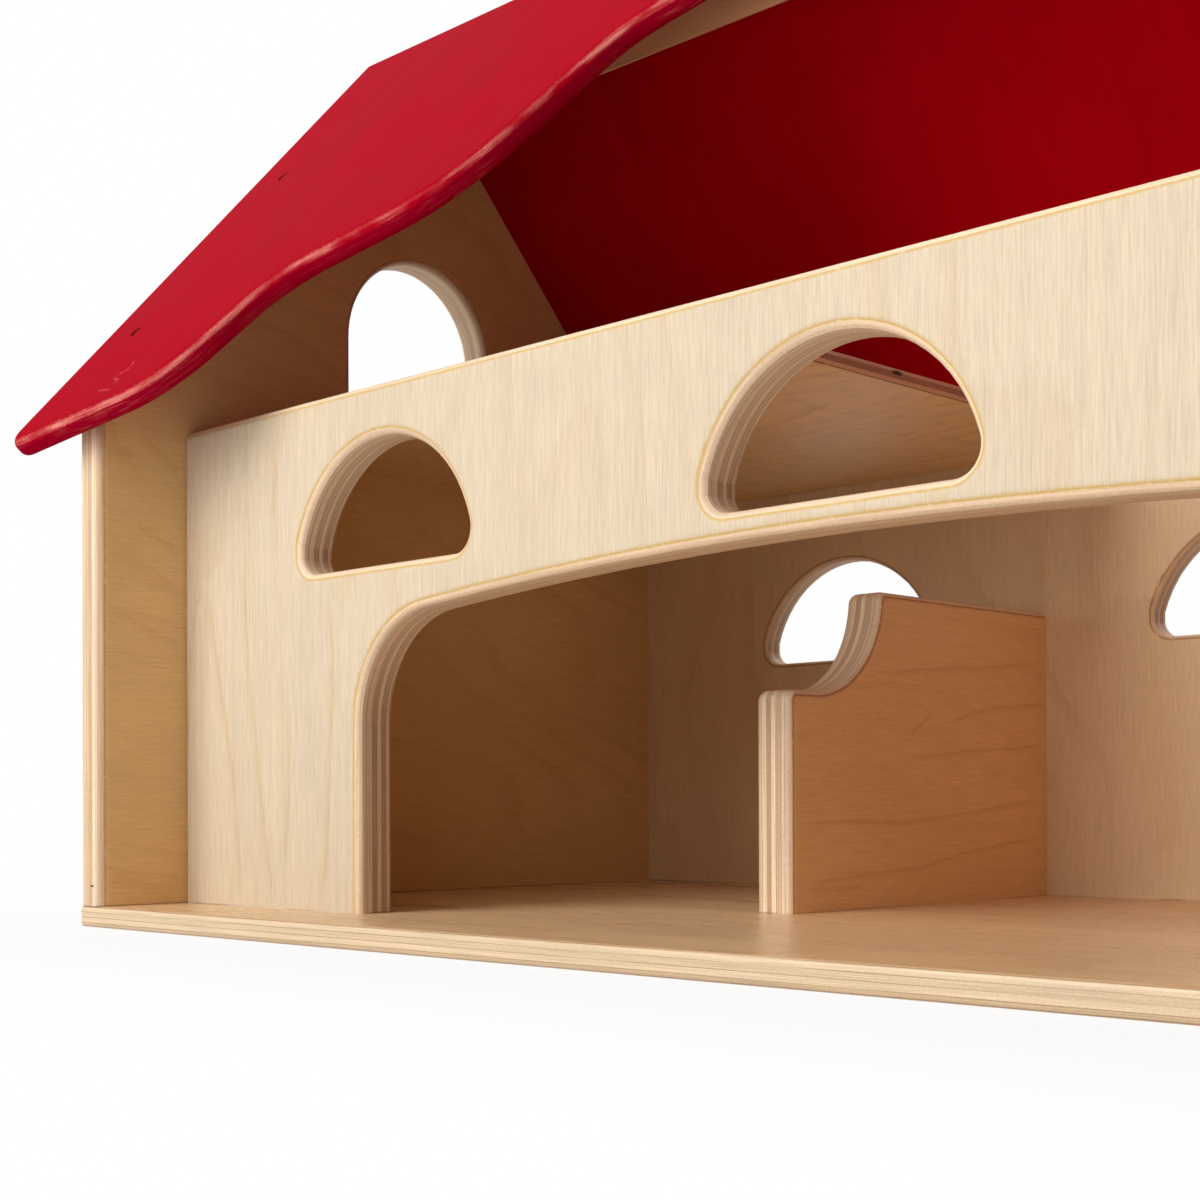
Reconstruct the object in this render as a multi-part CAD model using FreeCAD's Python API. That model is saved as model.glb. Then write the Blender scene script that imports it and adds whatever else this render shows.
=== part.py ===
"""Toy barn of birch plywood under a red stained roof.

Thin and thick boards are butted, glued and nailed. X runs along the ridge, Y from front to
back and Z up. The origin is on the table, under the middle of the base board.
"""

import FreeCAD, Part
import math
import os

# Whole barn
barn_width = 500.0
barn_depth = 236.0
roof_pitch = 48.0

# Base board
base_thickness = 6.0
base_round = 1.0
base_corner_radius = 1.5

# Front wall, set back under the roof, with one low wide arch in it
front_wall_thickness = 12.0
front_wall_setback = 28.0
front_wall_face_round = 3.0
front_wall_back_round = 2.0
front_wall_end_round = 1.0
arch_width = 312.0
arch_height = 91.3
arch_corner_radius = 29.0
arch_top_radius = 1350.0

# Half-moon windows, three alike in each long wall: an arc whose centre lies a little under
# the sill, with a strip of wall over the arch below it and a head of wall above it
window_pitch = 147.0
window_radius = 35.8
window_drop = 2.4
window_corner_radius = 6.0
window_strip = 6.3
window_head = 14.0
back_window_sill = 83.2

# Back wall
back_wall_thickness = 9.0
back_wall_round = 2.0

# Gables, with a round-headed window over the loft floor
gable_thickness = 12.0
gable_round = 2.5
gable_window_radius = 28.5
gable_window_rise = 9.5
gable_window_side = 29.0
gable_window_corner_radius = 6.0

# Stall dividers: a low post in front, then a scoop up to the full height
divider_thickness = 12.0
divider_spacing = 152.0
divider_depth = 125.0
divider_height = 93.0
divider_post_depth = 11.0
divider_scoop_radius = 28.5
divider_round = 2.5
divider_tip_share = 1.2

# Loft floors, one at each end, standing a hair proud of the front wall
loft_thickness = 4.0
loft_length = 193.0
loft_step = 0.5
loft_round = 1.0

# Ridge beam
beam_thickness = 12.0
beam_height = 28.0
beam_round = 2.0

# Roof panels, mitred along the ridge; distances down the slope are along the upper face
roof_thickness = 6.5
roof_overhang = 17.5
roof_slope_length = 198.6
roof_corner_radius = 6.0
roof_round = 2.6

# Wave of the front panel's lower edge, from the verge to the middle: straight stretches that
# turn at these corners. Each has its place along the half roof, its distance down the slope
# and the radius of its turn, both as shares of the slope's length.
wave_shares = (
    (0.746, 0.930, 0.161),
    (0.691, 0.724, 0.136),
    (0.478, 0.628, 0.222),
    (0.387, 0.312, 0.111),
    (0.254, 0.229, 0.403),
)

# Nails, set below the surface
nail_head_diameter = 3.6
nail_head_height = 1.0
nail_shank_diameter = 1.6
nail_length = 25.0
nail_sink = 0.6
nail_clearance = 0.1
roof_nail_below_ridge = 72.0
roof_nail_above_shoulder = 33.0
roof_nail_inset = 2.5
gable_nail_lower = 40.0
gable_nail_upper = 115.0
base_nail_inset = 22.0

# A rounded arris takes at most this share of its board or strip
round_limit_share = 0.48

# How far a cutter runs past what it cuts, and how near an edge lies to count as in a plane
overrun = 5.0
seam = 0.01

# Worked out from the sizes above
half_width = barn_width / 2
half_depth = barn_depth / 2
inner_half_width = half_width - gable_thickness
inner_width = 2 * inner_half_width
pitch = math.radians(roof_pitch)
slope = math.tan(pitch)
front_wall_face = front_wall_setback - half_depth
front_wall_back = front_wall_face + front_wall_thickness
front_window_sill = arch_height + window_strip
front_wall_height = front_window_sill - window_drop + window_radius + window_head
shoulder_height = front_wall_height + loft_step
apex_height = shoulder_height + half_depth * slope
back_wall_face = half_depth - back_wall_thickness
gable_window_sill = shoulder_height + gable_window_rise
beam_bottom = apex_height - beam_height
roof_half_length = half_width + roof_overhang
ridge_run = roof_thickness * slope
window_places = (-window_pitch, 0, window_pitch)


def at(x, y, z):
    return FreeCAD.Vector(x, y, z)


centre = at(0, 0, 0)
along_x = at(1, 0, 0)
along_y = at(0, 1, 0)
along_z = at(0, 0, 1)


def line(start, end):
    return Part.LineSegment(start, end)


def arc(middle, radius, start_angle, end_angle, across):
    """An arc in an upright plane, with angles in radians from the level axis `across`."""
    def point(angle):
        return middle + across * (radius * math.cos(angle)) + along_z * (radius * math.sin(angle))

    return Part.Arc(point(start_angle), point((start_angle + end_angle) / 2), point(end_angle))


def joined(*curves):
    """A closed outline of arcs and lines in order, with straight lines across the gaps."""
    edges = []
    for curve, following in zip(curves, curves[1:] + curves[:1]):
        edges.append(curve.toShape())
        gap = following.StartPoint - curve.EndPoint
        if gap.Length > seam:
            edges.append(line(curve.EndPoint, following.StartPoint).toShape())
    return Part.Wire(edges)


def rounded_polygon(corners):
    """A closed outline from corners given as point and radius; a radius of zero stays sharp."""
    points = [point for point, radius in corners]
    befores = points[-1:] + points[:-1]
    afters = points[1:] + points[:1]
    starts = []
    ends = []
    edges = []
    for (point, radius), before, after in zip(corners, befores, afters):
        back = (before - point).normalize()
        onward = (after - point).normalize()
        half_angle = back.getAngle(onward) / 2
        setback = radius / math.tan(half_angle)
        starts.append(point + back * setback)
        ends.append(point + onward * setback)
        if radius > 0:
            inward = (back + onward).normalize()
            middle = point + inward * (radius / math.sin(half_angle) - radius)
            edges.append(Part.Arc(starts[-1], middle, ends[-1]).toShape())
    for end, start in zip(ends, starts[1:] + starts[:1]):
        edges.append(line(end, start).toShape())
    return Part.Wire(Part.__sortEdges__(edges))


def sawn(wire, start, thickness):
    """A board of the wire's outline, moved to `start` and as thick as `thickness` reaches."""
    board = Part.Face(wire).extrude(thickness)
    board.translate(start)
    return board


def box(low, high):
    size = high - low
    return Part.makeBox(size.x, size.y, size.z, low)


def in_plane(edge, axis, place):
    bounds = edge.BoundBox
    low, high = {
        "x": (bounds.XMin, bounds.XMax),
        "y": (bounds.YMin, bounds.YMax),
        "z": (bounds.ZMin, bounds.ZMax),
    }[axis]
    return abs(low - place) < seam and abs(high - place) < seam


def eased(board, radius, wall, plane, keep_sharp):
    """Round the arrises that lie in one plane, apart from those in the planes kept sharp."""
    chosen = [
        edge
        for edge in board.Edges
        if in_plane(edge, *plane) and not any(in_plane(edge, *sharp) for sharp in keep_sharp)
    ]
    return board.makeFillet(min(radius, wall * round_limit_share), chosen)


def under_roof(board):
    """Bevel a board's top to the undersides of both roof panels."""
    reach = half_depth + overrun
    low = apex_height - reach * slope
    high = apex_height + overrun
    above = Part.makePolygon([
        at(0, -reach, low),
        at(0, 0, apex_height),
        at(0, reach, low),
        at(0, reach, high),
        at(0, -reach, high),
        at(0, -reach, low),
    ])
    return board.cut(sawn(above, along_x * -barn_width, along_x * (2 * barn_width)))


def half_moon(place, sill):
    """Window outline in the plane Y = 0: a wide arc over a level sill, lower corners rounded."""
    rise = window_drop + window_corner_radius
    reach = window_radius - window_corner_radius
    lean = math.asin(rise / reach)
    out = along_x * (reach * math.cos(lean))
    corner = at(place, 0, sill + window_corner_radius)
    return joined(
        arc(at(place, 0, sill - window_drop), window_radius, math.pi - lean, lean, along_x),
        arc(corner + out, window_corner_radius, lean, -math.pi / 2, along_x),
        arc(corner - out, window_corner_radius, -math.pi / 2, lean - math.pi, along_x),
    )


def window_cutters(sill, face, thickness):
    start = along_y * (face - overrun)
    through = along_y * (thickness + 2 * overrun)
    return [sawn(half_moon(place, sill), start, through) for place in window_places]


def nail(head_top, way):
    head = Part.makeCylinder(nail_head_diameter / 2, nail_head_height, head_top, way)
    shank = Part.makeCylinder(nail_shank_diameter / 2, nail_length, head_top, way)
    return head.fuse(shank).removeSplitter()


def nail_hole(head_top, way):
    """Room for one nail: a bore for the sunk head, open outward, and a pilot hole."""
    head_radius = nail_head_diameter / 2 + nail_clearance
    shank_radius = nail_shank_diameter / 2 + nail_clearance
    bore = Part.makeCylinder(head_radius, overrun + nail_head_height, head_top - way * overrun, way)
    pilot = Part.makeCylinder(shank_radius, nail_length + nail_clearance, head_top, way)
    return bore.fuse(pilot)


def drilled(board, places):
    return board.cut([nail_hole(*place) for place in places])


def nails(places):
    return Part.makeCompound([nail(*place) for place in places])


def spread(first, last, count):
    return [first + (last - first) * step / (count - 1) for step in range(count)]


def base_nail_places():
    """Up through the base into the gables, the front wall's legs, the dividers and the back wall."""
    gable_x = half_width - gable_thickness / 2
    gable_y = half_depth - base_nail_inset
    leg_x = (arch_width / 2 + inner_half_width) / 2
    leg_y = front_wall_face + front_wall_thickness / 2
    divider_x = divider_spacing / 2
    divider_front = back_wall_face - divider_depth + base_nail_inset
    divider_back = back_wall_face - base_nail_inset
    wall_x = inner_half_width - base_nail_inset
    wall_y = back_wall_face + back_wall_thickness / 2
    spots = [(x, wall_y) for x in spread(-wall_x, wall_x, 4)]
    for side in (-1, 1):
        spots += [(side * gable_x, y) for y in spread(-gable_y, gable_y, 3)]
        spots += [(side * divider_x, y) for y in (divider_front, divider_back)]
        spots.append((side * leg_x, leg_y))
    return [(at(x, y, nail_sink), along_z) for x, y in spots]


def gable_nail_places(side):
    """In through a gable into the ends of both long walls and of the ridge beam."""
    x = side * (half_width - nail_sink)
    front_y = front_wall_face + front_wall_thickness / 2
    back_y = back_wall_face + back_wall_thickness / 2
    spots = [(y, z) for y in (front_y, back_y) for z in (gable_nail_lower, gable_nail_upper)]
    spots.append((0, beam_bottom + beam_thickness / 2))
    return [(at(x, y, z), along_x * -side) for y, z in spots]


def roof_nail_places(side):
    """Down through a roof panel into the sloped tops of both gables; side -1 is the front."""
    down = at(0, side * math.cos(pitch), -math.sin(pitch))
    inward = at(0, -side * math.sin(pitch), -math.cos(pitch))
    ridge = along_z * (apex_height + roof_thickness / math.cos(pitch))
    shoulder_run = ridge_run + half_depth / math.cos(pitch)
    nail_x = half_width - roof_nail_inset
    runs = (roof_nail_below_ridge, shoulder_run - roof_nail_above_shoulder)
    return [
        (ridge + along_x * x + down * run + inward * nail_sink, inward)
        for x in (-nail_x, nail_x)
        for run in runs
    ]


def base_board():
    board = box(at(-half_width, -half_depth, 0), at(half_width, half_depth, base_thickness))
    upright = [edge for edge in board.Edges if edge.BoundBox.ZLength > base_thickness - seam]
    board = board.makeFillet(base_corner_radius, upright)
    for height in (0, base_thickness):
        board = eased(board, base_round, base_thickness, ("z", height), [])
    return drilled(board, base_nail_places())


def arch():
    """Outline in the plane Y = 0: straight jambs, round shoulders and a shallow crown."""
    half = arch_width / 2
    out = half - arch_corner_radius
    reach = arch_top_radius - arch_corner_radius
    lean = math.acos(out / reach)
    crown_height = arch_height - arch_top_radius
    corner_height = crown_height + reach * math.sin(lean)
    foot = base_thickness - overrun
    return joined(
        line(at(-half, 0, foot), at(-half, 0, corner_height)),
        arc(at(-out, 0, corner_height), arch_corner_radius, math.pi, math.pi - lean, along_x),
        arc(at(0, 0, crown_height), arch_top_radius, math.pi - lean, lean, along_x),
        arc(at(out, 0, corner_height), arch_corner_radius, lean, 0, along_x),
        line(at(half, 0, corner_height), at(half, 0, foot)),
    )


def front_wall():
    """Its narrowest place is the strip between the arch and the middle window."""
    board = box(
        at(-inner_half_width, front_wall_face, base_thickness),
        at(inner_half_width, front_wall_back, front_wall_height),
    )
    through = along_y * (front_wall_thickness + 2 * overrun)
    doorway = sawn(arch(), along_y * (front_wall_face - overrun), through)
    windows = window_cutters(front_window_sill, front_wall_face, front_wall_thickness)
    board = board.cut([doorway] + windows)
    sharp = [("x", -inner_half_width), ("x", inner_half_width), ("z", base_thickness)]
    strip = min(window_strip, front_wall_thickness)
    board = eased(board, front_wall_face_round, strip, ("y", front_wall_face), sharp)
    board = eased(board, front_wall_back_round, strip, ("y", front_wall_back), sharp)
    for end in (-inner_half_width, inner_half_width):
        board = eased(board, front_wall_end_round, strip, ("x", end), [("z", base_thickness)])
    return drilled(board, base_nail_places() + gable_nail_places(-1) + gable_nail_places(1))


def back_wall():
    top = shoulder_height + back_wall_thickness * slope
    board = box(
        at(-inner_half_width, back_wall_face, base_thickness),
        at(inner_half_width, half_depth, top),
    )
    board = board.cut(window_cutters(back_window_sill, back_wall_face, back_wall_thickness))
    sharp = [("x", -inner_half_width), ("x", inner_half_width), ("z", base_thickness), ("z", top)]
    for face in (back_wall_face, half_depth):
        board = eased(board, back_wall_round, back_wall_thickness, ("y", face), sharp)
    board = under_roof(board)
    return drilled(board, base_nail_places() + gable_nail_places(-1) + gable_nail_places(1))


def gable_window():
    """Outline in the plane X = 0: round-headed, with the sill's corners rounded."""
    radius = gable_window_corner_radius
    corner = at(0, 0, gable_window_sill + radius)
    out = along_y * (gable_window_radius - radius)
    head = at(0, 0, gable_window_sill + gable_window_side)
    return joined(
        arc(head, gable_window_radius, math.pi, 0, along_y),
        arc(corner + out, radius, 0, -math.pi / 2, along_y),
        arc(corner - out, radius, -math.pi / 2, -math.pi, along_y),
    )


def gable(side):
    """An end wall under both roof slopes; side -1 is the left one."""
    outer = side * half_width
    inner = side * inner_half_width
    left = min(outer, inner)
    board = box(
        at(left, -half_depth, base_thickness),
        at(left + gable_thickness, half_depth, apex_height),
    )
    through = along_x * (gable_thickness + 2 * overrun)
    board = board.cut(sawn(gable_window(), along_x * (left - overrun), through))
    sharp = [("z", base_thickness), ("z", apex_height)]
    board = eased(board, gable_round, gable_thickness, ("x", outer), sharp)
    board = eased(board, gable_round, gable_thickness, ("x", inner), sharp + [("y", half_depth)])
    board = under_roof(board)
    roof_nails = roof_nail_places(-1) + roof_nail_places(1)
    return drilled(board, base_nail_places() + gable_nail_places(side) + roof_nails)


def divider(side):
    front = back_wall_face - divider_depth
    post_back = front + divider_post_depth
    post_top = divider_height - divider_scoop_radius
    scoop_end = post_back + divider_scoop_radius
    profile = joined(
        line(at(0, front, base_thickness), at(0, front, post_top)),
        arc(at(0, post_back, divider_height), divider_scoop_radius, -math.pi / 2, 0, along_y),
        line(at(0, back_wall_face, divider_height), at(0, back_wall_face, base_thickness)),
    )
    left = side * divider_spacing / 2 - divider_thickness / 2
    board = sawn(profile, along_x * left, along_x * divider_thickness)
    tips = [
        edge
        for edge in board.Edges
        if any(
            in_plane(edge, "y", y) and in_plane(edge, "z", z)
            for y, z in ((front, post_top), (scoop_end, divider_height))
        )
    ]
    board = board.makeFillet(divider_round * divider_tip_share, tips)
    sharp = [("z", base_thickness), ("y", back_wall_face)]
    for face in (left, left + divider_thickness):
        board = eased(board, divider_round, divider_thickness, ("x", face), sharp)
    return drilled(board, base_nail_places())


def loft_floor(side):
    free_end = side * (inner_half_width - loft_length)
    left = min(free_end, side * inner_half_width)
    board = box(
        at(left, front_wall_back, shoulder_height - loft_thickness),
        at(left + loft_length, back_wall_face, shoulder_height),
    )
    sharp = [("y", front_wall_back), ("y", back_wall_face)]
    return eased(board, loft_round, loft_thickness, ("x", free_end), sharp)


def ridge_beam():
    half = beam_thickness / 2
    beam = box(at(-inner_half_width, -half, beam_bottom), at(inner_half_width, half, apex_height))
    sharp = [("x", -inner_half_width), ("x", inner_half_width)]
    beam = under_roof(eased(beam, beam_round, beam_thickness, ("z", beam_bottom), sharp))
    return drilled(beam, gable_nail_places(-1) + gable_nail_places(1))


def wave():
    """Corners of the front panel's lower edge, left to right, in the flat of the panel."""
    left = [
        (at(-out * roof_half_length, ridge_run - down * roof_slope_length, 0), turn * roof_slope_length)
        for out, down, turn in wave_shares
    ]
    right = [(at(-point.x, point.y, 0), radius) for point, radius in reversed(left)]
    return left + right


def panel_outline(eave, lower_edge):
    """A roof panel laid flat: the ridge runs along X and the panel goes down towards -Y."""
    top = ridge_run + overrun
    corner = roof_corner_radius
    left = [(at(-roof_half_length, top, 0), 0), (at(-roof_half_length, eave, 0), corner)]
    right = [(at(roof_half_length, eave, 0), corner), (at(roof_half_length, top, 0), 0)]
    return rounded_polygon(left + lower_edge + right)


def roof_panel(side, flat):
    """Sawn flat, rounded all round but at the ridge, tilted to the pitch and mitred there."""
    panel = sawn(flat, centre, along_z * roof_thickness)
    ridge_edge = ("y", ridge_run + overrun)
    for face in (0, roof_thickness):
        panel = eased(panel, roof_round, roof_thickness, ("z", face), [ridge_edge])
    panel.rotate(centre, along_x, roof_pitch)
    panel.translate(along_z * apex_height)
    room = roof_half_length + roof_slope_length
    past_ridge = box(at(-room, 0, apex_height - room), at(room, room, apex_height + room))
    panel = panel.cut(past_ridge)
    if side > 0:
        panel = panel.mirror(centre, along_y)
    return drilled(panel, roof_nail_places(side))


# The rear eave is straight, level with the lowest point of the wave
front_outline = panel_outline(ridge_run - roof_slope_length, wave())
rear_outline = panel_outline(front_outline.BoundBox.YMin, [])

pieces = {
    "base_board": base_board(),
    "left_gable": gable(-1),
    "right_gable": gable(1),
    "front_wall": front_wall(),
    "back_wall": back_wall(),
    "left_divider": divider(-1),
    "right_divider": divider(1),
    "left_loft_floor": loft_floor(-1),
    "right_loft_floor": loft_floor(1),
    "ridge_beam": ridge_beam(),
    "front_roof_panel": roof_panel(-1, front_outline),
    "rear_roof_panel": roof_panel(1, rear_outline),
    "base_nails": nails(base_nail_places()),
    "left_gable_nails": nails(gable_nail_places(-1)),
    "right_gable_nails": nails(gable_nail_places(1)),
    "front_roof_nails": nails(roof_nail_places(-1)),
    "rear_roof_nails": nails(roof_nail_places(1)),
}

os.makedirs("parts", exist_ok=True)
for name, shape in pieces.items():
    shape.exportStep(f"parts/{name}.step")
    print(name, "solids", len(shape.Solids), "valid", shape.isValid(), "volume", round(shape.Volume))
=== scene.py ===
"""Toy barn of birch plywood under a red stained roof, dressed and lit for its picture."""

import math

import bpy
from mathutils import Matrix, Vector


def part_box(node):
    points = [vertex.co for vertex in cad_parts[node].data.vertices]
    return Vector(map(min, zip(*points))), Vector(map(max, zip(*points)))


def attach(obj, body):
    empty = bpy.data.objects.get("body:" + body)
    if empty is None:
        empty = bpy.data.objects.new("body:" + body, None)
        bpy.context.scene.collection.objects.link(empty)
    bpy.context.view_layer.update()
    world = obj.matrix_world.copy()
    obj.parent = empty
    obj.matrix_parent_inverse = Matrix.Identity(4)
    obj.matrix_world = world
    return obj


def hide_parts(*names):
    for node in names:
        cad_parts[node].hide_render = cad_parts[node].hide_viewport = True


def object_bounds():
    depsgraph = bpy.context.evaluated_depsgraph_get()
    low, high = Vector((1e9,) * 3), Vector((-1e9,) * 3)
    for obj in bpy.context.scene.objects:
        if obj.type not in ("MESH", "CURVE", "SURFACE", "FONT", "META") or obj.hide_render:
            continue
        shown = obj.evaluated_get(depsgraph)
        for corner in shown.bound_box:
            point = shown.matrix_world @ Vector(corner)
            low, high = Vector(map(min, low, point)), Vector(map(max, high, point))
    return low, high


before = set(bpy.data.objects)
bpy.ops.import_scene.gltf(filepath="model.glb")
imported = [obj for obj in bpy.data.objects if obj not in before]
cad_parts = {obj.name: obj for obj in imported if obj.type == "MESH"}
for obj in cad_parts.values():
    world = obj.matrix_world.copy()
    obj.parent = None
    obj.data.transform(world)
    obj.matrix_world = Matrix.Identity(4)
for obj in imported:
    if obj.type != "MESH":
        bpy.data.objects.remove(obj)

cad_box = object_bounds()

# Base board
# A thin sheet of five-ply birch under the whole barn. Its arrises are eased through the face
# veneer, so thin glue lines show along the edge. The top is sanded fine and sealed to a satin shine.

MM = 0.001
ALONG_X = Vector((1, 0, 0))
ALONG_Y = Vector((0, 1, 0))
UP = Vector((0, 0, 1))


def srgb(red, green, blue):
    """A colour as it shows on a screen, 0 to 255, as the linear colour that a shader takes."""
    def linear(level):
        share = level / 255
        return share / 12.92 if share <= 0.04045 else ((share + 0.055) / 1.055) ** 2.4

    return Vector((linear(red), linear(green), linear(blue)))


class Value:
    """The output of a node, so that shader maths is written as plain expressions."""

    def __init__(self, finish, socket):
        self.finish = finish
        self.socket = socket

    def maths(self, operation, *terms):
        return self.finish.node("Math", {"operation": operation}, dict(enumerate(terms)))

    def __add__(self, other):
        return self.maths("ADD", self, other)

    def __radd__(self, other):
        return self.maths("ADD", other, self)

    def __sub__(self, other):
        return self.maths("SUBTRACT", self, other)

    def __rsub__(self, other):
        return self.maths("SUBTRACT", other, self)

    def __mul__(self, other):
        return self.maths("MULTIPLY", self, other)

    def __rmul__(self, other):
        return self.maths("MULTIPLY", other, self)

    def __truediv__(self, other):
        return self.maths("DIVIDE", self, other)

    def __rtruediv__(self, other):
        return self.maths("DIVIDE", other, self)

    def __abs__(self):
        return self.maths("ABSOLUTE", self)

    def fraction(self):
        return self.maths("FRACT", self)

    def or_more(self, other):
        return self.maths("MAXIMUM", self, other)

    def along(self, direction):
        sockets = {0: self, 1: direction}
        return self.finish.node("VectorMath", {"operation": "DOT_PRODUCT"}, sockets, "Value")

    def rise(self, start, end):
        """A smooth step from 0 at `start` to 1 at `end`, which may lie either way round."""
        sockets = {"Value": self, "From Min": start, "From Max": end}
        return self.finish.node("MapRange", {"interpolation_type": "SMOOTHSTEP"}, sockets)

    def between(self, start, end, ease):
        """1 from `start` to `end` and 0 outside, with soft ends."""
        return self.rise(start - ease, start + ease) * self.rise(end + ease, end - ease)


class Finish:
    """The nodes of a material or a world; `node` adds any node, set up and wired in one call."""

    def __init__(self, owner, end):
        owner.use_nodes = True
        self.owner = owner
        self.tree = owner.node_tree
        self.tree.nodes.clear()
        self.end = self.tree.nodes.new("ShaderNode" + end).inputs["Surface"]

    def node(self, kind, settings=None, sockets=None, output=0):
        made = self.tree.nodes.new("ShaderNode" + kind)
        for name, setting in (settings or {}).items():
            if name == "stops":
                self.set_stops(made.color_ramp.elements, setting)
            else:
                setattr(made, name, setting)
        for name, value in (sockets or {}).items():
            self.feed(made.inputs[name], value)
        return Value(self, made.outputs[output])

    def set_stops(self, elements, stops):
        for place, colour in stops[2:]:
            elements.new(place)
        for element, (place, colour) in zip(elements, stops):
            element.position = place
            element.color = colour

    def feed(self, socket, value):
        if isinstance(value, Value):
            self.tree.links.new(value.socket, socket)
        elif socket.type == "RGBA":
            socket.default_value = (*value, 1.0)
        else:
            socket.default_value = value

    def mix(self, factor, first, second):
        """A colour between two, first at 0 and second at 1."""
        return self.node("Mix", {"data_type": "RGBA"}, {0: factor, 6: first, 7: second}, 2)

    def split(self, colour):
        """The red, green and blue of a colour as three numbers."""
        parts = self.node("SeparateColor", sockets={0: colour}).socket.node.outputs
        return [Value(self, part) for part in parts]

    def tint(self, colour, strength):
        """A colour made lighter or darker by a number about 1."""
        scale = {0: colour, "Scale": strength}
        return self.node("VectorMath", {"operation": "SCALE"}, scale, "Vector")

    def noise(self, x, y, z, detail=2.0, roughness=0.5):
        """Smooth noise from 0 to 1 whose grain is about one unit of its coordinates, so along / 11 and
        aside / 0.5 in millimetres give grains of about 11 by 0.5 mm."""
        spot = self.node("CombineXYZ", sockets={0: x, 1: y, 2: z})
        sockets = {"Vector": spot, "Scale": 1.0, "Detail": detail, "Roughness": roughness}
        return self.node("TexNoise", {"noise_dimensions": "3D"}, sockets)

    def spot(self, place, centre, reach):
        """1 inside an egg-shaped spot round `centre` and 0 outside it."""
        way = self.node("VectorMath", {"operation": "SUBTRACT"}, {0: place, 1: centre * MM}, "Vector")
        scaled = self.node("VectorMath", {"operation": "DIVIDE"}, {0: way, 1: reach * MM}, "Vector")
        return self.node("VectorMath", {"operation": "LENGTH"}, {0: scaled}, "Value").rise(1.15, 0.75)

    def surface(self, colour, roughness, height, depth, **fixed):
        bump = self.node("Bump", sockets={"Height": height, "Distance": depth, "Strength": 1.0})
        sockets = {"Base Color": colour, "Roughness": roughness, "Normal": bump, **fixed}
        self.feed(self.end, self.node("BsdfPrincipled", sockets=sockets))
        return self.owner


FACE_GLUE_HALF = 0.2
CORE_GLUE_HALF = 0.13
GRAIN_RELIEF = 0.03 * MM


def ply_stops(glue_lines, tones, thickness):
    """Ramp stops through a board: red is how dark a ply is, green is 1 on a glue line inside the
    board and blue on the two that lie right under the face veneers."""
    stops = []
    befores = (tones[0], *tones)
    afters = (*tones, tones[-1])
    for number, (depth, before, after) in enumerate(zip(glue_lines, befores, afters)):
        under_face = number in (0, len(tones))
        half = FACE_GLUE_HALF if under_face else CORE_GLUE_HALF
        middle = ((before + after) / 2, 1 - under_face, under_face, 1)
        stops.append(((depth - half) / thickness, (before, 0, 0, 1)))
        stops.append((depth / thickness, middle))
        stops.append(((depth + half) / thickness, (after, 0, 0, 1)))
    return stops


def drawn_line(finish, run, side, points, spread):
    """A dark line of the figure through points along and across the grain, soft on one side."""
    runs = [point[0] for point in points]
    sides = [point[1] for point in points]
    low, high = min(sides) - 1, max(sides) + 1
    share = (run - runs[0]) / (runs[-1] - runs[0])
    stops = []
    for point_run, point_side in points:
        level = (point_side - low) / (high - low)
        stops.append(((point_run - runs[0]) / (runs[-1] - runs[0]), (level, level, level, 1)))
    course = finish.node("ValToRGB", {"stops": stops}, {0: share})
    off = side - (course * (high - low) + low)
    soft = off.rise(-spread, 0)
    return soft * soft * off.rise(0.5, 0) * share.between(0.05, 0.95, 0.08)


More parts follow.
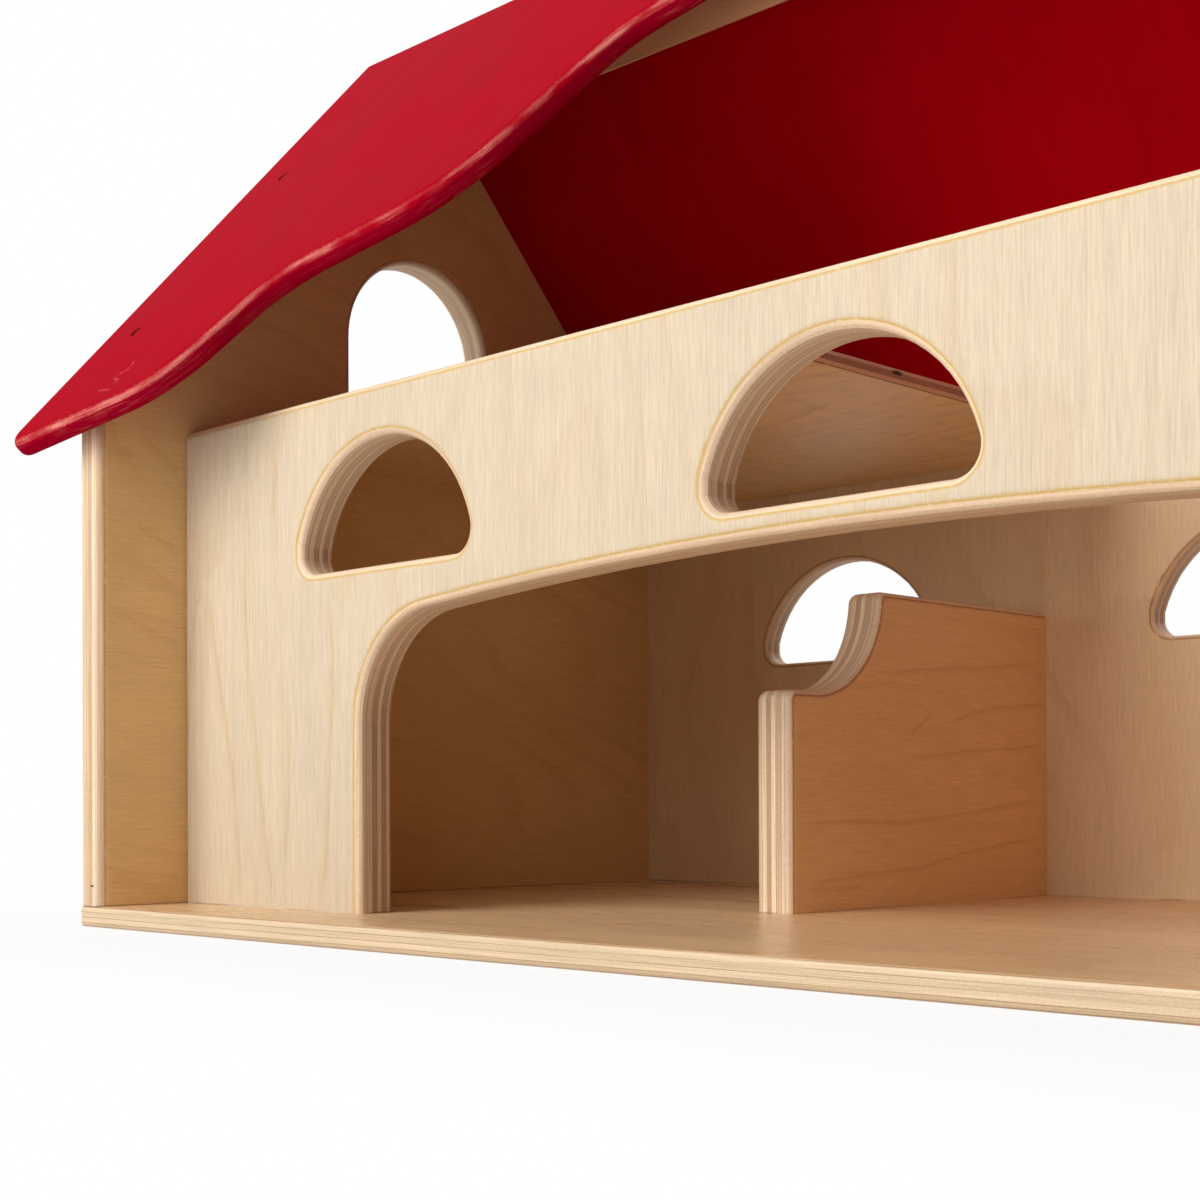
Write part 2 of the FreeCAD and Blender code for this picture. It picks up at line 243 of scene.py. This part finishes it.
def birch_ply(
    node, through, grain, seed, plies, face, vein, edge, glue, rings=(0.4, 18.0, 0.0), lines=(),
    line_look=(0.4, 2.0), fibres=0.45, streaks=0.1, gloss=0.3, rough=0.48, voids=(), joint=None,
):
    """Birch plywood as a solid: a figured veneer on both faces and striped plies on the edges.

    `through` points into the board from its front face and `grain` along the face's fibres.
    Plies are glue lines, in millimetres from the front, and how dark each ply between them is.
    Colours are the face and its veins, the edge's light and dark plies, and the glue under the
    face and inside. Rings are their strength, width and slant; lines are drawn through points
    and look as strong and as wide as `line_look` says. Fibres and streaks are how strongly they
    show. Voids are gaps in the plies, each by its centre and reach in millimetres. A joint is the
    way into the board from the side where it meets another, where a thin dark line of painted
    shade stands for the shadow between the two boards.
    """
    finish = Finish(bpy.data.materials.new(f"{node}_birch"), "OutputMaterial")
    low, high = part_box(node)
    front = low if sum(through) > 0 else high
    thickness = abs((high - low).dot(through)) / MM
    place = finish.node("TexCoord", output="Object")
    normal = finish.node("TexCoord", output="Normal")
    run = place.along(grain / MM)
    side = place.along(Vector(map(abs, grain.cross(through))) / MM)
    depth = place.along(through / MM) - front.dot(through) / MM
    along = run + seed * 37
    aside = side + seed * 91

    # Veneer: fine fibres, broader streaks, clouds, short dark pores and the edges of year rings
    fibre = finish.noise(along / 11, aside / 0.5, depth / 0.5, 3.0, 0.65)
    streak = finish.noise(along / 60, aside / 2.2, depth / 3, 3.0)
    cloud = finish.noise(along / 110, aside / 26, depth / 9, 2.0)
    warp = finish.noise(along / 150, aside / 60, depth / 30, 1.0)
    pore = finish.noise(along / 3.2, aside / 0.4, depth / 0.4, 1.0).rise(0.6, 0.78)
    ring_strength, ring_width, slant = rings
    ring = (aside / ring_width + along * (slant / ring_width) + warp * 6 + streak * 0.25).fraction()
    veins = ring.rise(0.55, 0.96) * ring.rise(1.0, 0.97) * cloud.rise(0.3, 0.7) * ring_strength
    wavy = side + (streak - 0.5) * 1.6
    for points in lines:
        veins = veins.or_more(drawn_line(finish, run, wavy, points, line_look[1]) * line_look[0])
    shade = 1.0 + (fibre - 0.5) * fibres + (streak - 0.5) * streaks + (cloud - 0.5) * 0.16
    veneer = finish.tint(finish.mix(veins + pore * 0.3, face, vein), shade)

    # Edge: striped most on upright cuts and hardly on level ones
    glue_lines, tones = plies
    wander = finish.noise(along / 8, aside / 8, depth / 8) - 0.5
    across = (depth + wander * 0.1) / thickness
    stripes = finish.node("ValToRGB", {"stops": ply_stops(glue_lines, tones, thickness)}, {0: across})
    tone, core_glue, face_glue = finish.split(stripes)
    speck = finish.noise(along / 0.6, aside / 0.6, depth / 0.45, 2.0)
    patch = finish.noise(along / 40, aside / 40, depth / 1.3, 1.0)
    hair = finish.noise(along / 25, aside / 25, depth / 0.16, 2.0)
    upright = 1 - abs(normal.along(UP)) * 0.6
    edge_shade = 1.0 + (speck - 0.5) * 0.35 + (patch - 0.5) * 0.3 + (hair - 0.5) * upright * 0.95
    edge_wood = finish.tint(finish.mix(tone * upright, *edge), edge_shade)
    edge_wood = finish.mix(core_glue * patch.rise(0.2, 0.55) * 0.85, edge_wood, glue[1])

    inside = depth.between(glue_lines[0], glue_lines[-1], 0.03)
    wood = finish.mix(inside, veneer, edge_wood)
    colour = finish.mix(face_glue * streak.rise(0.15, 0.5), wood, glue[0])
    for centre, reach in voids:
        colour = finish.mix(finish.spot(place, centre, reach) * speck.rise(0.2, 0.5), colour, glue[1] * 0.3)
    # Painted shade: a thin dark line along the joint stands for the shadow between the two boards
    if joint:
        start = (low if sum(joint) > 0 else high).dot(joint)
        painted_gap_shade = (place.along(joint / MM) - start / MM).rise(0.6, 0.15) * cloud.rise(0.3, 0.6)
        colour = finish.mix(painted_gap_shade * 0.6, colour, glue[1] * 0.4)
    roughness = rough + (fibre - 0.5) * 0.25 + (cloud - 0.5) * 0.2 + inside * 0.1
    return finish.surface(colour, roughness, fibre, GRAIN_RELIEF, **{"Specular IOR Level": gloss})


def dress(node, material):
    """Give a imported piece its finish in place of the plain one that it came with."""
    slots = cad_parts[node].data.materials
    for index in range(len(slots)):
        slots[index] = material


BASE_PLIES = ((0.25, 1.71, 3.23, 4.70, 5.75), (0.1, 0.35, 0.15, 0.8))
base_birch = birch_ply(
    "base_board",
    through=-UP,
    grain=ALONG_X,
    seed=1.0,
    plies=BASE_PLIES,
    face=srgb(229, 192, 147),
    vein=srgb(196, 146, 94),
    edge=(srgb(214, 189, 155), srgb(180, 150, 114)),
    glue=(srgb(150, 108, 66), srgb(124, 88, 56)),
    fibres=0.26,
    gloss=0.5,
    rough=0.3,
)
dress("base_board", base_birch)

# Gables
# Two end walls of twelve-millimetre, nine-ply birch, nailed to the ends of both long walls. The
# fibres of the face run from front to back. Windows and free arrises are rounded by a cutter.

THICK_GLUE_LINES = (0.24, 1.95, 3.1, 4.88, 6.53, 7.95, 9.57, 10.93, 11.76)
GABLE_TONES = (0.65, 0.25, 0.0, 0.6, 0.35, 0.3, 0.0, 0.1)
GABLE_LINES = (
    ((-105, 144), (-101, 140), (-96, 136), (-92, 133)),
    ((-107, 118), (-104, 115), (-99, 113), (-93, 111)),
    ((-115, 107), (-109, 106), (-101, 104), (-97, 101), (-93, 99)),
    ((-116, 92), (-111, 90), (-106, 88), (-92, 82)),
    ((-116, 17.4), (-110, 16.5), (-103, 15.2), (-96, 14.6), (-91, 14.2)),
    ((-116, 13.7), (-103, 12.3), (-91, 11.0)),
)
GABLE_NICK = (Vector((-243, -118, 11.8)), Vector((1.1, 1.0, 0.35)))

for gable_side, gable_inward, gable_seed in (("left", ALONG_X, 2.0), ("right", -ALONG_X, 3.0)):
    gable_birch = birch_ply(
        f"{gable_side}_gable",
        through=-gable_inward,
        grain=ALONG_Y,
        seed=gable_seed,
        plies=(THICK_GLUE_LINES, GABLE_TONES),
        face=srgb(219, 177, 121),
        vein=srgb(184, 132, 76),
        edge=(srgb(226, 200, 166), srgb(162, 124, 90)),
        glue=(srgb(176, 122, 64), srgb(150, 112, 86)),
        rings=(0.25, 22.0, 0.5),
        lines=GABLE_LINES,
        line_look=(0.22, 5.0),
        voids=[GABLE_NICK],
        joint=UP,
    )
    dress(f"{gable_side}_gable", gable_birch)

# Front wall
# Nine-ply birch between the gables, set back under the roof, with upright face fibres. The arch
# and the half-moon windows are sawn out and rounded over, so every opening has its glue line.

FRONT_TONES = (0.05, 0.6, 0.3, 0.9, 0.35, 0.95, 0.4, 0.5)
FRONT_LINES = (
    ((8, -209), (19, -210), (37, -212), (55, -216), (67, -219), (80, -222), (93, -224.5), (100, -228.5)),
    ((49, -237), (62, -236), (75, -235), (90, -233), (100, -228.5)),
    ((9, -195), (17, -196), (35, -199), (50, -201), (66, -204), (84, -206.5), (104, -208)),
    ((7, -171), (18, -170), (35, -168), (60, -166.5), (76, -166), (94, -168)),
    ((18, -188), (35, -186.5), (52, -186), (64, -187)),
    ((113, -193.5), (127, -192), (136, -193)),
)
front_wall_birch = birch_ply(
    "front_wall",
    through=ALONG_Y,
    grain=UP,
    seed=4.0,
    plies=(THICK_GLUE_LINES, FRONT_TONES),
    face=srgb(202, 184, 158),
    vein=srgb(186, 152, 98),
    edge=(srgb(234, 206, 174), srgb(166, 132, 104)),
    glue=(srgb(198, 160, 84), srgb(130, 92, 64)),
    rings=(0.2, 24.0, 0.1),
    lines=FRONT_LINES,
    line_look=(0.36, 5.0),
    fibres=0.62,
    streaks=0.2,
    joint=UP,
)
dress("front_wall", front_wall_birch)

# Back wall
# Seven-ply birch between the gables, its top bevelled to the rear roof panel. Its windows are cut
# like the front ones, a little lower.

BACK_PLIES = ((0.24, 1.6, 3.1, 4.5, 6.0, 7.4, 8.76), (0.1, 0.8, 0.2, 0.9, 0.3, 0.6))
back_wall_birch = birch_ply(
    "back_wall",
    through=ALONG_Y,
    grain=UP,
    seed=5.0,
    plies=BACK_PLIES,
    face=srgb(221, 188, 147),
    vein=srgb(190, 142, 94),
    edge=(srgb(226, 190, 152), srgb(160, 122, 92)),
    glue=(srgb(150, 104, 62), srgb(120, 84, 56)),
    rings=(0.25, 26.0, 0.1),
    joint=UP,
)
dress("back_wall", back_wall_birch)

# Stall dividers
# Two low walls of nine-ply birch, glued and nailed to the base and butted to the back wall. Their
# warm brown veneer has long dark lines in it.

DIVIDER_TONES = (0.15, 0.2, 0.6, 0.0, 0.85, 0.1, 0.4, 0.1)
DIVIDER_LINES = (
    ((19, 70.5), (45, 72.3), (68, 74.2), (87, 75.8), (109, 77.9)),
    ((56, 58), (68, 61), (81, 62.8), (94, 63.9), (109, 65)),
    ((35, 47.7), (56, 49), (81, 50.7), (94, 51.5), (107, 52.6)),
    ((37, 54), (43, 57), (48, 61)),
    ((-13, 28.9), (-2, 30), (10, 30.2), (33, 29.3), (56, 31.1), (81, 33.2), (107, 36)),
    ((-14, 13.9), (6, 14.9), (22, 15.7), (44, 17), (62, 20.3), (80, 22), (107, 24)),
    ((-10, 12.4), (6, 12.2), (16, 12.7)),
)

for divider_side, divider_seed in (("left", 6.0), ("right", 7.0)):
    divider_birch = birch_ply(
        f"{divider_side}_divider",
        through=-ALONG_X,
        grain=ALONG_Y,
        seed=divider_seed,
        plies=(THICK_GLUE_LINES, DIVIDER_TONES),
        face=srgb(234, 188, 136),
        vein=srgb(176, 118, 72),
        edge=(srgb(238, 213, 182), srgb(180, 144, 110)),
        glue=(srgb(178, 110, 64), srgb(150, 106, 70)),
        rings=(0.12, 20.0, 0.1),
        lines=DIVIDER_LINES,
        line_look=(0.26, 2.4),
        joint=UP,
    )
    dress(f"{divider_side}_divider", divider_birch)

# Loft floors
# Two sheets of thin three-ply birch, one at each end, let in between the long walls. A knot hole
# in the upper ply was sawn through at the left one's free end.

LOFT_PLIES = ((0.15, 1.35, 2.65, 3.85), (0.0, 1.0, 0.0))
LOFT_KNOT = (Vector((-45, -3.4, 144.2)), Vector((2.0, 2.4, 0.6)))

for loft_side, loft_seed in (("left", 8.0), ("right", 9.0)):
    loft_birch = birch_ply(
        f"{loft_side}_loft_floor",
        through=UP,
        grain=ALONG_X,
        seed=loft_seed,
        plies=LOFT_PLIES,
        face=srgb(242, 206, 156),
        vein=srgb(196, 146, 94),
        edge=(srgb(224, 170, 140), srgb(180, 126, 100)),
        glue=(srgb(120, 76, 48), srgb(130, 86, 62)),
        rings=(0.35, 9.0, 0.1),
        voids=[LOFT_KNOT],
        joint=-ALONG_Y,
    )
    dress(f"{loft_side}_loft_floor", loft_birch)

# Ridge beam
# A strip of the same thick birch under the ridge, bevelled to both roof panels and nailed through
# the gables. Its underside is planed to a slant, higher at the back, and its front arris is eased.

ROOF_PITCH = math.radians(48)
BEAM_SLANT = 8 * MM
BEAM_EASE = 0.5 * MM


def bevelled_beam():
    """The beam's section, from its lower front arris round by the back, drawn out along the ridge."""
    low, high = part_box("ridge_beam")
    shoulder = high.z - high.y * math.tan(ROOF_PITCH)
    slant = BEAM_SLANT / (high.y - low.y)
    section = (
        (low.y, low.z + BEAM_EASE),
        (low.y + BEAM_EASE, low.z + BEAM_EASE * slant),
        (high.y, low.z + BEAM_SLANT),
        (high.y, shoulder),
        (0, high.z),
        (low.y, shoulder),
    )
    count = len(section)
    corners = [(x, y, z) for x in (low.x, high.x) for y, z in section]
    sides = [(i, (i + 1) % count, (i + 1) % count + count, i + count) for i in range(count)]
    ends = [tuple(reversed(range(count))), tuple(range(count, 2 * count))]
    mesh = bpy.data.meshes.new("bevelled_ridge_beam")
    mesh.from_pydata(corners, [], sides + ends)
    beam = bpy.data.objects.new("bevelled_ridge_beam", mesh)
    bpy.context.scene.collection.objects.link(beam)
    return beam


beam_birch = birch_ply(
    "ridge_beam",
    through=ALONG_Y,
    grain=ALONG_X,
    seed=10.0,
    plies=(THICK_GLUE_LINES, FRONT_TONES),
    face=srgb(228, 178, 130),
    vein=srgb(188, 136, 88),
    edge=(srgb(212, 172, 130), srgb(170, 130, 94)),
    glue=(srgb(140, 96, 60), srgb(130, 90, 58)),
)
ridge_beam = bevelled_beam()
ridge_beam.data.materials.append(beam_birch)
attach(ridge_beam, "root")
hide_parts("ridge_beam")

# Roof panels
# Two sheets of five-ply birch, stained red on all sides and mitred along the ridge. The front
# one's lower edge is sawn in a wave and rounded, and there the stain wears thin. On rounded edges
# a painted highlight also lightens the pale band, and painted shade darkens the edge's lower half.

ROOF_THICKNESS = 6.5


def stained_ply(side, stain, inner, glue_and_shade_red, wear_and_highlight, seed, scratches):
    """Red stain on plywood: fibres show through it, and it is thin on the rounded arrises. There a
    painted highlight lightens the pale band on the upper arris, and painted shade darkens the
    lower half of the edge.

    Scratches are straight strokes, given by their ends across and down the slope.
    """
    finish = Finish(bpy.data.materials.new(f"{side}_roof_red"), "OutputMaterial")
    ridge_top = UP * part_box(f"{side}_roof_panel")[1].z
    place = finish.node("TexCoord", output="Object")
    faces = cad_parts[f"{side}_roof_panel"].data.polygons
    top = max((face for face in faces if face.normal.z > 0), key=lambda face: face.area)
    through = -top.normal
    downhill = through.cross(ALONG_X) if side == "front" else ALONG_X.cross(through)
    run = place.along(downhill / MM) - ridge_top.dot(downhill) / MM
    aside = place.along(ALONG_X / MM)
    depth = place.along(through / MM) - top.center.dot(through) / MM
    along = run + seed * 37

    fibre = finish.noise(along / 14, aside / 0.6, depth / 0.6, 3.0, 0.6)
    streak = finish.noise(along / 90, aside / 4, depth / 3, 2.0)
    cloud = finish.noise(along / 50, aside / 40, depth / 9, 2.0)
    shade = 1.0 + (fibre - 0.5) * 0.22 + (streak - 0.5) * 0.2 + (cloud - 0.5) * 0.25
    underside = depth.rise(ROOF_THICKNESS - 0.4, ROOF_THICKNESS - 0.1)
    colour = finish.tint(finish.mix(underside, stain, inner), shade)

    # The edge: a pale band of thin stain on the upper arris that is also a painted highlight, a dark
    # glue line in it, and darker red below as painted shade on the edge's down-facing lower half
    chatter = finish.noise(along / 0.6, aside / 0.6, depth / 0.6, 2.0)
    rub = finish.noise(along / 18, aside / 18, depth / 4, 3.0)
    hair = finish.noise(along / 10, aside / 10, depth / 0.16, 3.0, 0.7)
    ragged = depth + (chatter - 0.5) * 0.9
    # Pale band on the upper arris: thin stain, made paler still as a painted highlight
    rubbed_and_highlit = ragged.between(0.4, 1.7, 0.35) * rub.rise(0.32, 0.62) * (0.25 + hair.rise(0.35, 0.65) * 0.75)
    dark_line = ragged.between(1.2, 1.45, 0.12) * rub.rise(0.55, 0.4)
    # The edge's lower half: painted a darker streaked red as shade of its down-facing side, with bare
    # patches in it
    below = ragged.rise(1.6, 2.4) * depth.rise(ROOF_THICKNESS - 0.15, ROOF_THICKNESS - 0.6)
    bare = below * hair.rise(0.52, 0.72) * rub.rise(0.35, 0.6)
    colour = finish.mix(below * 0.95, colour, finish.tint(glue_and_shade_red, 0.6 + hair * 0.8))
    colour = finish.mix(rubbed_and_highlit * 0.75 + bare * 0.3, colour, wear_and_highlight)
    colour = finish.mix(dark_line * 0.7, colour, glue_and_shade_red)

    # Wear on the flat: pale specks and a few scratches
    dust = finish.noise(along / 1.1, aside / 1.1, depth / 1.1, 1.0).rise(0.76, 0.84)
    marks = dust * 0.18
    for (start_x, start_run), (end_x, end_run) in scratches:
        way = Vector((end_x - start_x, end_run - start_run))
        length = way.length
        way.normalize()
        from_start = (aside - start_x) * way.x + (run - start_run) * way.y
        off = (aside - start_x) * way.y - (run - start_run) * way.x + (fibre - 0.5) * 2
        stroke = abs(off).rise(0.5, 0.1) * from_start.between(0, length, 0.3)
        marks = marks.or_more(stroke * chatter.rise(0.4, 0.6) * 0.35)
    colour = finish.mix(marks * depth.rise(0.3, 0.1), colour, wear_and_highlight)
    roughness = 0.45 + (fibre - 0.5) * 0.2 + (cloud - 0.5) * 0.15
    return finish.surface(colour, roughness, fibre, GRAIN_RELIEF, **{"Specular IOR Level": 0.001})


ROOF_RED = srgb(161, 5, 27)
ROOF_INNER = srgb(164, 1, 16)
# Darker red for the glue line in the pale band and for painted shade on the edge's lower half
ROOF_GLUE_AND_SHADE_RED = srgb(146, 0, 32)
# Pale thin-stain colour, also used as the painted highlight on the arris
ROOF_WEAR_AND_HIGHLIGHT = srgb(232, 150, 136)
ROOF_SCRATCHES = (
    ((-227.1, 169.4), (-225.4, 172.3)),
    ((-225.4, 172.3), (-226.2, 174.3)),
    ((-226.2, 174.3), (-229.0, 175.0)),
    ((-229.0, 175.0), (-229.3, 177.0)),
    ((-229.3, 177.0), (-225.4, 178.8)),
    ((-225.4, 178.8), (-226.3, 180.3)),
    ((-233.1, 181.4), (-225.6, 182.8)),
)
for roof_side, roof_seed, roof_scratches in (("front", 11.0, ROOF_SCRATCHES), ("rear", 12.0, ())):
    roof_finish = stained_ply(
        roof_side, ROOF_RED, ROOF_INNER, ROOF_GLUE_AND_SHADE_RED, ROOF_WEAR_AND_HIGHLIGHT, roof_seed, roof_scratches
    )
    dress(f"{roof_side}_roof_panel", roof_finish)

# Nails
# Thin steel nails with round heads, driven through one board into the next and set below the
# surface. Those in the roof are stained over with it, so they show as small dark pits.


def nail_finish(name, bright, dull, metallic):
    finish = Finish(bpy.data.materials.new(name), "OutputMaterial")
    place = finish.node("TexCoord", output="Object")
    grit = finish.node("TexNoise", {}, {"Vector": place, "Scale": 1500.0})
    colour = finish.mix(grit, bright, dull)
    return finish.surface(colour, 0.35 + grit * 0.2, grit, GRAIN_RELIEF, Metallic=metallic)


steel = nail_finish("nail_steel", srgb(150, 150, 152), srgb(120, 118, 116), 1.0)
for nailed_place in ("base", "left_gable", "right_gable"):
    dress(f"{nailed_place}_nails", steel)
stained = nail_finish("nail_stained", srgb(120, 4, 20), srgb(90, 2, 14), 0.0)
for nailed_place in ("front_roof", "rear_roof"):
    dress(f"{nailed_place}_nails", stained)

# Studio
# A plain white table in a white room, with wide soft lights round the barn. Table and room look
# white but shed little light of their own, and the table keeps the barn's soft shadow.

TABLE_HALF_SIZE = 6.0
ROOM_LIGHT = 0.02


def white_to_the_eye(finish):
    """1 for what is looked at straight, in a shine or through glass, and 0 for the light itself."""
    ways = ("Is Camera Ray", "Is Glossy Ray", "Is Transmission Ray")
    camera, glossy, through = (finish.node("LightPath", output=way) for way in ways)
    return camera.or_more(glossy).or_more(through)


def table_white():
    """White painted table, brought up to paper white away from the barn and its shadow."""
    finish = Finish(bpy.data.materials.new("table_white"), "OutputMaterial")
    place = finish.node("TexCoord", output="Object")
    low, high = cad_box
    out_x = (abs(place.along(ALONG_X)) - high[0]).or_more(0.0)
    out_y = (abs(place.along(ALONG_Y)) - high[1]).or_more(0.0)
    far = (out_x + out_y).rise(0.0, 0.12)
    paint = finish.node("BsdfDiffuse", sockets={"Color": (0.9, 0.9, 0.9)})
    glow = finish.node("Emission", sockets={"Color": (1.0, 1.0, 1.0), "Strength": 1.0})
    share = white_to_the_eye(finish) * (0.85 + far * 0.15)
    finish.feed(finish.end, finish.node("MixShader", sockets={0: share, 1: paint, 2: glow}))
    return finish.owner


table_mesh = bpy.data.meshes.new("table")
corners = [(x * TABLE_HALF_SIZE, y * TABLE_HALF_SIZE, 0) for x, y in ((-1, -1), (1, -1), (1, 1), (-1, 1))]
table_mesh.from_pydata(corners, [], [(0, 1, 2, 3)])
table_mesh.materials.append(table_white())
table = bpy.data.objects.new("table", table_mesh)
bpy.context.scene.collection.objects.link(table)

room = Finish(bpy.data.worlds.new("white_room"), "OutputWorld")
room_light = room.node("Background", sockets={"Color": (1.0, 1.0, 1.0), "Strength": ROOM_LIGHT})
room_seen = room.node("Background", sockets={"Color": (1.0, 1.0, 1.0), "Strength": 1.0})
room_mix = room.node("MixShader", sockets={0: white_to_the_eye(room), 1: room_light, 2: room_seen})
room.feed(room.end, room_mix)
bpy.context.scene.world = room.owner


LAMP_DISTANCE = 2.0
BARN_MIDDLE = Vector((0, 0, 0.12))


def softbox(name, azimuth, elevation, width, height, power):
    """An oblong soft light that faces the barn; azimuth 0 is in front of it and 90 to its right."""
    turn = math.radians(azimuth)
    tilt = math.radians(elevation)
    away = Vector((math.sin(turn) * math.cos(tilt), -math.cos(turn) * math.cos(tilt), math.sin(tilt)))
    light = bpy.data.lights.new(name, "AREA")
    light.shape = "RECTANGLE"
    light.size = width
    light.size_y = height
    light.energy = power
    lamp = bpy.data.objects.new(name, light)
    lamp.location = BARN_MIDDLE + away * LAMP_DISTANCE
    lamp.rotation_euler = away.to_track_quat("Z", "Y").to_euler()
    bpy.context.scene.collection.objects.link(lamp)


softbox("main", -14, 34, 1.2, 1.1, 28.0)
softbox("main_right", 25, 30, 1.2, 0.8, 4.0)
softbox("low", -20, 9, 1.5, 0.7, 12.5)
softbox("low_right", 28, 7, 0.8, 0.5, 2.3)
softbox("left", -100, 45, 1.4, 1.4, 6.0)
softbox("right", 100, 45, 1.4, 1.4, 4.0)
softbox("back", 180, 50, 1.6, 1.6, 20.0)

# Camera
# Close and low in front of the right half, level with the stalls, looking past the left gable. The
# frame is shifted up and hardly tilted, so upright boards stay upright in the picture.

CAMERA_PLACE = Vector((0.22772, -0.38605, 0.03558))
CAMERA_YAW = math.radians(44.78)
CAMERA_TILT = math.radians(0.22)
CAMERA_ROLL = math.radians(-0.21)
CAMERA_LENS = 54.74
CAMERA_SHIFT = 0.1617

camera_data = bpy.data.cameras.new("camera")
camera_data.lens = CAMERA_LENS
camera_data.sensor_width = 36.0
camera_data.shift_y = CAMERA_SHIFT
camera = bpy.data.objects.new("camera", camera_data)
turned = Matrix.Rotation(CAMERA_YAW, 4, "Z") @ Matrix.Rotation(math.pi / 2 + CAMERA_TILT, 4, "X")
camera.matrix_world = Matrix.Translation(CAMERA_PLACE) @ turned @ Matrix.Rotation(CAMERA_ROLL, 4, "Z")
bpy.context.scene.collection.objects.link(camera)
bpy.context.scene.camera = camera
bpy.context.scene.view_settings.view_transform = "Standard"
